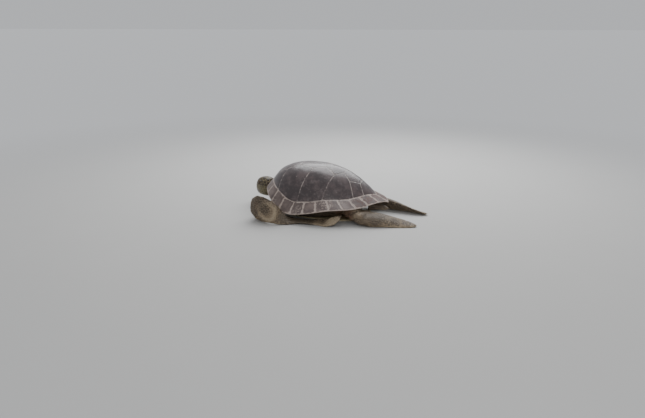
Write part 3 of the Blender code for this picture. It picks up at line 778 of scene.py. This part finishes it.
def sculpt_skin(skin):
    """Shrink under the scales, fold the neck and the limbs' roots, and form the lids, nose and mouth."""
    mesh = skin.data
    ahead, left, up = head_axes(points_of(mesh))
    subdivide_where(skin, (ahead > HEAD_BACK) & (np.abs(left) < HEAD_HALF), 1)
    co = points_of(mesh)
    ahead, left, up = head_axes(co)
    fine = (beside_mouth(ahead, up) < FINE_MOUTH) | (beside_nostril(ahead, left, up) < FINE_NOSTRIL)
    fine |= eye_distance(co) < FINE_EYE
    subdivide_where(skin, fine, FINE_CUTS)
    co, normals = points_of(mesh), normals_of(mesh)
    ahead, left, up = head_axes(co)
    place = nearest_nodes(co, FLESH + BEAKS)
    depth = np.full(len(co), OVERLAP + SKIN_DEPTH) + BEAK_BED * np.isin(place, BEAKS)
    ring = np.sin(co[:, 0] * 2 * math.pi / NECK_FOLDS + 2.2 * noise_at(co, 0.05, 3.0))
    depth += (place == "neck") * NECK_DEEP * (0.8 - ring)
    roots = np.isin(place, ["trunk", *(n for n in LIMBS if not n.endswith("flipper"))])
    crease = 1 - np.abs(noise_at(co * (1.0, 0.7, 1.6), CREASES, 7.0)) * 2.5
    depth += roots * CREASE_DEEP * np.clip(crease, 0, 1)
    on_head = place == "head"
    depth += on_head * MOUTH_GROOVE * bell(beside_mouth(ahead, up), 0, MOUTH_HALF)
    pits = on_head * nose_pits(ahead, left, up)
    depth += NOSTRIL_DEEP * pits
    depth += np.char.startswith(place, "front_left") * bend_dish(co, normals)
    at_root, ridge = root_folds(co)
    depth += np.char.startswith(place, "hind") * at_root * FOLD_DEEP * (1 - ridge) ** 1.2
    note_value(mesh, "pit", pits)
    co = shape_lids(co - normals * depth[:, None])
    co[:, 2] = np.maximum(co[:, 2], SCALE_ROOT)
    move_points(mesh, co)
    return place


def make_skin():
    """The skin, and the solid that each of its points belongs to."""
    skin = body_skin()
    place = sculpt_skin(skin)
    mesh = skin.data
    co = points_of(mesh)
    ahead, _, _ = head_axes(co)
    note_value(mesh, "face", ease(ahead, *FACE_FROM))
    # marks the trunk's skin, which the skin material paints dark as shade under the shell's rim
    note_value(mesh, "under", place == "trunk")
    note_value(mesh, "lid", ease(eye_distance(co), BARE_RING, BARE_RING - 4 * MM))
    groin = np.isin(place, ["hind_left_thigh", "hind_right_thigh", "trunk"])
    note_value(mesh, "flush", groin * ease(co[:, 0], *GROIN_REAR) * ease(co[:, 0], *GROIN_FRONT))
    own(skin, "skin", skin_material(), *FLESH)
    return skin, place


# ---- scales ----
class Ground:
    """The finished skin, to sow scales on: its surface, smooth normals and unwrap."""

    def __init__(self, skin):
        mesh = skin.data
        mesh.calc_loop_triangles()
        self.co = points_of(mesh)
        self.tris = read(mesh.loop_triangles, "vertices", 3, np.int64)
        loops = read(mesh.loop_triangles, "loops", 3, np.int64)
        self.uv = read(mesh.uv_layers["OFBake"].data, "uv", 2)[loops]
        self.tree = BVHTree.FromPolygons(self.co.tolist(), self.tris.tolist())
        corners = self.co[self.tris]
        cross = np.cross(corners[:, 1] - corners[:, 0], corners[:, 2] - corners[:, 0])
        self.area = norm(cross, axis=1) / 2
        self.middle = corners.mean(axis=1)
        self.smooth_normal = normals_of(mesh)

    def scatter(self, share, count, rng):
        """Random points on the faces, as thick as area times share."""
        weight = self.area * share
        tri = rng.choice(len(weight), count, p=weight / weight.sum())
        a, b = rng.random(count), rng.random(count)
        flip = a + b > 1
        a[flip], b[flip] = 1 - a[flip], 1 - b[flip]
        p, q, r = self.co[self.tris[tri]].transpose(1, 0, 2)
        spot = p + a[:, None] * (q - p) + b[:, None] * (r - p)
        return spot, tri

    def land(self, points):
        """The skin's nearest points, and the faces that they lie on."""
        found = [self.tree.find_nearest(point) for point in points]
        return np.array([spot for spot, *_ in found]), np.array([tri for _, _, tri, _ in found])

    def blend(self, values, spots, tris):
        """Values at points on faces, from the three corners by how near each is."""
        corner = self.co[self.tris[tris]]
        near = 1 / (norm(corner - spots[:, None, :], axis=2) + 1e-5)
        near /= near.sum(axis=1)[:, None]
        return (values * near[:, :, None]).sum(axis=1)

    def normal_at(self, spots, tris):
        out = self.blend(self.smooth_normal[self.tris[tris]], spots, tris)
        return out / norm(out, axis=1)[:, None]

    def map_at(self, spots, tris):
        """Place on the skin's unwrap."""
        return self.blend(self.uv[tris], spots, tris)


def sow(ground, share, spacing, rng):
    """Evenly spaced seeds and their faces: random points thinned to their spacing, then centred."""
    crowd = share / spacing ** 2
    count = int(DRAWS * (ground.area * crowd).sum())
    spots, tris = ground.scatter(crowd, count, rng)
    gaps = spacing[tris]
    cell = gaps.max()
    grid, kept = {}, []
    for i in np.argsort(-gaps, kind="stable"):
        x, y, z = (int(v) for v in np.floor(spots[i] / cell))
        near = (k for dx in (-1, 0, 1) for dy in (-1, 0, 1) for dz in (-1, 0, 1)
                for k in grid.get((x + dx, y + dy, z + dz), ()))
        if all(np.sum((spots[k] - spots[i]) ** 2) > (CLOSEST * (gaps[i] + gaps[k])) ** 2 for k in near):
            grid.setdefault((x, y, z), []).append(i)
            kept.append(i)
    seeds = spots[kept]
    for _ in range(2):
        tree = tree_of(seeds)
        nearest = np.array([tree.find(p)[1] for p in spots])
        total = np.array([np.bincount(nearest, spots[:, k], len(seeds)) for k in range(3)]).T
        number = np.bincount(nearest, minlength=len(seeds))
        moved = total / np.maximum(number, 1)[:, None]
        seeds = np.where(number[:, None] > 2, moved, seeds)
    return ground.land(seeds)


def circle(sides):
    """Cosines and sines of the directions round a scale."""
    turns = np.arange(sides) * 2 * math.pi / sides
    return np.stack([np.cos(turns), np.sin(turns)])


def outline(seeds, normals, sizes, kind):
    """Each seed's cell among its neighbours, as a radius in each of several directions round it."""
    tree = tree_of(seeds)
    aft = np.tile((-1.0, 0.0, -0.2), (len(seeds), 1))
    along = aft - (aft * normals).sum(axis=1)[:, None] * normals
    along /= np.maximum(norm(along, axis=1), 1e-6)[:, None]
    across = np.cross(normals, along)
    rays = circle(kind.sides)
    radius = np.zeros((len(seeds), kind.sides))
    for i, seed in enumerate(seeds):
        found = [k for _, k, _ in tree.find_n(seed, NEIGHBOURS)
                 if k != i and normals[k] @ normals[i] > SAME_SIDE]
        away = seeds[found] - seed
        flat = np.stack([away @ along[i], away @ across[i]], axis=1)
        distance = norm(away, axis=1)
        way = flat / np.maximum(norm(flat, axis=1), 1e-6)[:, None]
        wall = distance * sizes[i] / (sizes[i] + sizes[found]) - kind.gap / 2
        press = np.maximum(way @ rays, 0) / np.maximum(wall, LEAST_REACH)[:, None]
        press = np.vstack([press, np.full(kind.sides, 1 / (kind.most * sizes[i]))])
        radius[i] = (press ** ROUNDING).sum(axis=0) ** (-1 / ROUNDING)
    return radius, along, across


def build_scales(name, ground, seeds, tris, sizes, kind, values):
    """One joined mesh of closed scales that follow the skin, each with its patch on the skin's map."""
    normals = ground.normal_at(seeds, tris)
    radius, along, across = outline(seeds, normals, sizes, kind)
    rise, sides, rings = kind.rise, kind.sides, kind.rings
    cos, sin = circle(sides)[:, :, None]
    around = cos * along[:, None, :] + sin * across[:, None, :]
    count = len(seeds)
    layers, inward = [], []
    for share, lift in rings:
        flat = seeds[:, None, :] + around * (radius * share)[:, :, None]
        spots, faces = ground.land(flat.reshape(-1, 3))
        height = -SCALE_ROOT if lift is None else rise * lift
        layers.append((spots + ground.normal_at(spots, faces) * height).reshape(count, sides, 3))
        inward.append(1 - share)
    crown = seeds + normals * (rise * (rings[-1][1] + CROWN))
    under = seeds - normals * SCALE_ROOT
    per = len(rings) * sides + 2
    verts = np.concatenate([np.concatenate(layers, axis=1), crown[:, None], under[:, None]], axis=1)
    depth = np.concatenate([np.repeat(inward, sides), [1.0, 1.0]])
    last = (len(rings) - 1) * sides
    steps = [(k, (k + 1) % sides) for k in range(sides)]
    faces = [(low + k, low + j, low + sides + j, low + sides + k)
             for low in range(0, last, sides) for k, j in steps]
    for k, j in steps:
        faces += [(last + k, last + j, per - 2), (j, k, per - 1)]
    mesh = bpy.data.meshes.new(name)
    mesh.from_pydata(verts.reshape(-1, 3).tolist(), [],
                     [tuple(base + v for v in face) for base in range(0, count * per, per) for face in faces])
    note_value(mesh, "inward", np.tile(depth, count))
    for key, value in values.items():
        note_value(mesh, key, np.repeat(value, per))
    lay_patches(mesh, ground.map_at(seeds, tris), rings, sides)
    return new_object(name, mesh)


def lay_patches(mesh, roots, rings, sides):
    """Each scale a small round patch at its root's place on the skin's map."""
    disc = circle(sides).T * PATCH / 2
    local = np.concatenate([disc * share for share, _ in rings] + [np.zeros((2, 2))])
    spread = (roots[:, None, :] + local[None]).reshape(-1, 2)
    corner = read(mesh.loops, "vertex_index", 1, np.int64)[:, 0]
    layer = mesh.uv_layers.new(name="OFBake")
    layer.data.foreach_set("uv", spread[corner].astype(np.float32).ravel())


def edge_closeness(ground):
    """For every face, how near it is to a flipper's thin edge, by how steeply the skin turns there."""
    normals = ground.smooth_normal
    turn = np.zeros(len(ground.co))
    for a, b in ((0, 1), (1, 2), (2, 0)):
        i, j = ground.tris[:, a], ground.tris[:, b]
        bend = norm(normals[i] - normals[j], axis=1)
        bend /= np.maximum(norm(ground.co[i] - ground.co[j], axis=1), 1e-5)
        np.maximum.at(turn, i, bend)
        np.maximum.at(turn, j, bend)
    return turn[ground.tris].mean(axis=1)


def dark_patches(seeds):
    """How dark each body scale is: at random in patches, less in the pale spots and more in the brown ones,
    which include painted shade under the shell's rim and in the bend's hollow.
    """
    dark = ease(noise_at(seeds, 0.060, 21.0) + 0.8 * noise_at(seeds, 0.014, 5.0), -0.20, 0.30)
    for centre, reach, share, paint in SPOTS:
        inside = share * ease(norm(seeds / MM - centre, axis=1), reach * 1.25, reach * 0.75)
        dark = dark * (1 - inside) + inside * (0.85 if paint in (SKIN_BROWN, SHADE_AND_PATCH_BROWN) else 0.0)
    return dark * (0.1 + 0.9 * ease(seeds[:, 2] + 0.012 * noise_at(seeds, 0.02, 2.0), 0.010, 0.036))


def make_body_scales(ground, face_place, rng):
    """Scales on the limbs, neck and tail, one mesh for each part; largest along the flippers' edges."""
    larger = FLIPPER_MORE + EDGE_MORE * ease(edge_closeness(ground), *EDGE_TURN)
    mat = scale_material()
    plans = [(f"{end}_{side}", LIMB_SCALE) for end in ("front", "hind") for side in SIDES]
    for name, size in (*plans, ("neck", NECK_SCALE)):
        nodes = ["neck", "tail"] if name == "neck" else [n for n in LIMBS if n.startswith(name)]
        share = np.isin(face_place, nodes).astype(float)
        spacing = size * (1 + np.char.endswith(face_place, "flipper") * larger)
        seeds, tris = sow(ground, share, spacing, rng)
        sizes = spacing[tris]
        dark = dark_patches(seeds)
        if name.startswith("hind"):
            at_root, ridge = root_folds(seeds)
            dark = dark * (1 - at_root) + at_root * ease(ridge, 0.75, 0.35)
        values = {"tone": rng.random(len(seeds)), "dark": dark}
        own(build_scales(f"scales_{name}", ground, seeds, tris, sizes, SMALL, values), "skin", mat)


# head shields: millimetres ahead of the eyes, degrees round from the crown, and rough half-width in mm
MIDLINE_SHIELDS = ((46, 0, 11), (19, 0, 15), (-20, 0, 29), (-60, 0, 17), (-86, 0, 15))
PAIRED_SHIELDS = (
    (38, 16, 17), (20, 26, 18), (-6, 33, 22), (-45, 24, 24), (-78, 26, 19),
    (-34, 50, 18), (-64, 49, 18), (-89, 49, 15),
    (33, 42, 12), (31, 60, 12), (24, 75, 12),
    (-30, 68, 14), (-51, 67, 16), (-76, 67, 16),
    (10, 88, 14), (-10, 89, 13), (-32, 86, 15), (-56, 85, 16), (-81, 85, 15),
    (-9, 103, 14), (-32, 104, 16), (-57, 103, 17), (-83, 102, 15),
    (-60, 121, 15), (-84, 119, 14),
    (-14, 134, 14), (-36, 136, 15), (-60, 138, 15))


def head_spot(ground, ahead, turn, side):
    """Where a ray from the head's axis meets the skin, and the face it meets."""
    angle = math.radians(turn)
    start = HEAD_MID + HEAD_AHEAD * (ahead * MM) - UP * HEAD_CORE
    way = UP * math.cos(angle) + HEAD_LEFT * (side * math.sin(angle))
    spot, _, tri, _ = ground.tree.ray_cast(start + way * 0.2, -way)
    return spot, tri


def make_head_scales(ground, face_place, rng):
    """Paired shields over the crown and cheeks, and small scales over the throat and nape."""
    plan = [(*row, 1) for row in MIDLINE_SHIELDS]
    plan += [(*row, side) for side in (1, -1) for row in PAIRED_SHIELDS]
    laid = [(*head_spot(ground, ahead, turn, side), size * MM) for ahead, turn, size, side in plan]
    ahead, left, up = head_axes(ground.middle)
    mouth = beside_mouth(ahead, up) < MOUTH_CLEAR * MOUTH_HALF
    bare = mouth | (nose_pits(ahead, left, up) > 0)
    bare |= eye_distance(ground.middle) < BARE_RING
    laid = [row for row in laid if face_place[row[1]] == "head" and not bare[row[1]]]
    big, under, reach = (np.array(column) for column in zip(*laid))
    tree = tree_of(big)
    clear = np.array([distance > SHIELD_CLEAR * reach[i] for _, i, distance in map(tree.find, ground.middle)])
    free = (face_place == "head") & ~bare & clear
    seeds, tris = sow(ground, free.astype(float), np.full(len(ground.middle), HEAD_SPACING), rng)
    seeds = np.concatenate([big, seeds])
    tris = np.concatenate([under, tris])
    sizes = np.concatenate([reach, np.full(len(seeds) - len(big), HEAD_SCALE)])
    forward, _, height = head_axes(seeds)
    cheek = ease(height, -0.005, -0.045) * ease(forward, 0.040, 0.0)
    values = {"tone": rng.random(len(seeds)), "cheek": cheek}
    own(build_scales("scales_head", ground, seeds, tris, sizes, SHIELD, values), "head_skin",
        shield_material())


def make_scales(skin, place):
    """Unwrap the skin, and cover all of it but the trunk."""
    with editing(skin):
        bpy.ops.uv.smart_project(angle_limit=math.radians(66), island_margin=0.001)
    skin.data.uv_layers[0].name = "OFBake"
    ground = Ground(skin)
    rng = np.random.default_rng(SEED)
    face_place = place[ground.tris[:, 0]]
    make_body_scales(ground, face_place, rng)
    make_head_scales(ground, face_place, rng)


# ---- beak, eyes, claws, plastron ----
def make_beak():
    mat = beak_material()
    behind, _ = solid_tree(["head"])
    for node in BEAKS:
        obj = double(node, f"{node}_horn")
        remesh(obj, BEAK_VOXEL)
        keep_form_soften(obj.data, BEAK_SOFTEN)
        mesh = obj.data
        note_value(mesh, "from_edge", [behind.find_nearest(p)[3] for p in points_of(mesh)])
        own(obj, "beak_horn", mat, node)


def make_eyes():
    for side in SIDES:
        bpy.ops.mesh.primitive_uv_sphere_add(segments=48, ring_count=24, radius=EYE_RADIUS,
                                             location=EYES[side])
        obj = bpy.context.object
        obj.name = f"eyeball_{side}"
        bpy.ops.object.transform_apply()
        own(obj, "eye", eye_material(side), f"eye_{side}")


def small_claw(name, at, points, length, mat):
    """A short curved cone of horn, rooted in the flipper's edge and pointing outwards from it."""
    bpy.ops.mesh.primitive_cone_add(vertices=14, radius1=length * CLAW_ROOT, radius2=length * CLAW_TIP,
                                    depth=length, end_fill_type="TRIFAN")
    obj = bpy.context.object
    obj.name = name
    with editing(obj):
        bpy.ops.transform.resize(value=(1.0, CLAW_FLAT, 1.0))
    apply_modifier(obj, "SUBSURF", levels=2, render_levels=2)
    co = points_of(obj.data)
    co[:, 0] += CLAW_HOOK * length * (co[:, 2] / length + 0.5) ** 2
    turn = np.array(points.to_track_quat("Z", "Y").to_matrix())
    move_points(obj.data, co @ turn.T + np.array(at + points * length * CLAW_OUT))
    own(obj, "claw_horn", mat)


# a small claw's radii, hook and reach, as shares of its length
CLAW_ROOT, CLAW_TIP, CLAW_HOOK, CLAW_OUT = 0.30, 0.04, 0.22, 0.25
CLAW_FLAT = 0.6  # thickness by breadth
CLAW_SWEEP = Vector((-0.9, 0, -0.05))  # back along the flipper
# the solid it grows on, a place near the edge it grows from, and its length
SMALL_CLAWS = (("front_{}_flipper", (0.232, 0.470, 0.006), 0.013),
               ("hind_{}_flipper", (-0.470, 0.330, 0.020), 0.015),
               ("hind_{}_flipper", (-0.520, 0.310, 0.018), 0.012))


def make_claws():
    """The two large claws, and smaller ones along the flippers' edges."""
    mat = claw_material()
    for side in SIDES:
        obj = double(f"claw_{side}", f"claw_horn_{side}")
        apply_modifier(obj, "BEVEL", width=1.2 * MM, segments=2)
        apply_modifier(obj, "SUBSURF", levels=2, render_levels=2)
        own(obj, "claw_horn", mat, f"claw_{side}")
        sign = 1 if side == "left" else -1
        for k, (solid, (x, y, z), length) in enumerate(SMALL_CLAWS):
            tree, _ = solid_tree([solid.format(side)])
            near = Vector((x, sign * y, z))
            root = tree.find_nearest(near)[0]
            out = ((near - root).normalized() * 0.5 + CLAW_SWEEP).normalized()
            small_claw(f"small_claw_{side}_{k + 1}", root + UP * 1.5 * MM, out, length, mat)


def make_plastron():
    """The belly's plates, parted by grooves along the midline and across it."""
    obj = double("plastron", "plastron_plates")
    remesh(obj, BELLY_VOXEL)
    mesh = obj.data
    keep_form_soften(mesh, BELLY_SOFTEN)
    low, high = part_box("plastron")
    co = points_of(mesh)
    length = high.x - low.x
    along = (co[:, 0] - low.x) / length + 0.5 * (np.abs(co[:, 1]) / length) ** 1.5
    across = np.abs(along[:, None] - BELLY_SEAMS).min(axis=1) * length
    gap = np.minimum(np.abs(co[:, 1]), across)
    groove = bell(gap, 0, BELLY_GROOVE) * (co[:, 2] < low.z + 3 * MM)
    co[:, 2] += BELLY_DEEP * groove
    co[:, 2] = np.maximum(co[:, 2], low.z)
    note_value(mesh, "seam", groove)
    move_points(mesh, co)
    own(obj, "plastron_horn", belly_material(), "plastron")


# ---- room ----
def camera():
    data = bpy.data.cameras.new("camera")
    data.sensor_width, data.lens = 36.0, 33.488
    obj = new_object("camera", data)
    obj.location = (-1.42208, 4.37671, 1.43335)
    obj.rotation_euler = (math.radians(72.967), 0.0, math.radians(198.53))
    bpy.context.scene.camera = obj


def area_light(name, at, size, power, colour):
    """A disc of light, aimed at the model."""
    data = bpy.data.lights.new(name, "AREA")
    data.shape, data.size, data.energy, data.color = "DISK", size, power, colour
    obj = new_object(name, data)
    obj.location = at
    obj.rotation_euler = (Vector((0, 0, 0.2)) - Vector(at)).to_track_quat("-Z", "Y").to_euler()


SKY, SKY_STRENGTH = (0.80, 0.82, 0.85), 0.68
FLOOR_PALE, FLOOR_GREY = (0.55, 0.545, 0.53), (0.53, 0.525, 0.51)
FLOOR_FADE = 1.4, 6.0  # the floor runs into the backdrop between these distances


def floor_material():
    """Pale plaster that fades into the plain backdrop far from the model."""
    f = Finish("floor", roughness=0.9, emission_strength=SKY_STRENGTH)
    away = f.add("VectorMath", {0: f.place}, "Value", operation="LENGTH")
    fade = f.rise(away, *FLOOR_FADE)
    f.feed(f.shader.inputs["Emission Color"], f.mix(fade, (0, 0, 0), SKY))
    return f.done(f.mix(fade, f.mix(f.noise(0.4), FLOOR_PALE, FLOOR_GREY), (0, 0, 0)))


def room():
    camera()
    bpy.ops.mesh.primitive_plane_add(size=400.0)
    floor = bpy.context.object
    floor.name = "floor"
    floor.data.materials.append(floor_material())
    world = bpy.data.worlds.new("studio")
    world.use_nodes = True
    light = world.node_tree.nodes["Background"].inputs
    light["Color"].default_value = (*SKY, 1.0)
    light["Strength"].default_value = SKY_STRENGTH
    bpy.context.scene.world = world
    area_light("overhead", (0.1, -2.3, 3.2), 4.4, 200.0, (0.98, 0.99, 1.0))
    area_light("left_side", (-2.4, 4.2, 2.6), 3.0, 26.0, (1.0, 0.96, 0.92))


room()
bpy.ops.object.select_all(action="DESELECT")
make_plates()
make_scales(*make_skin())
make_beak()
make_eyes()
make_claws()
make_plastron()
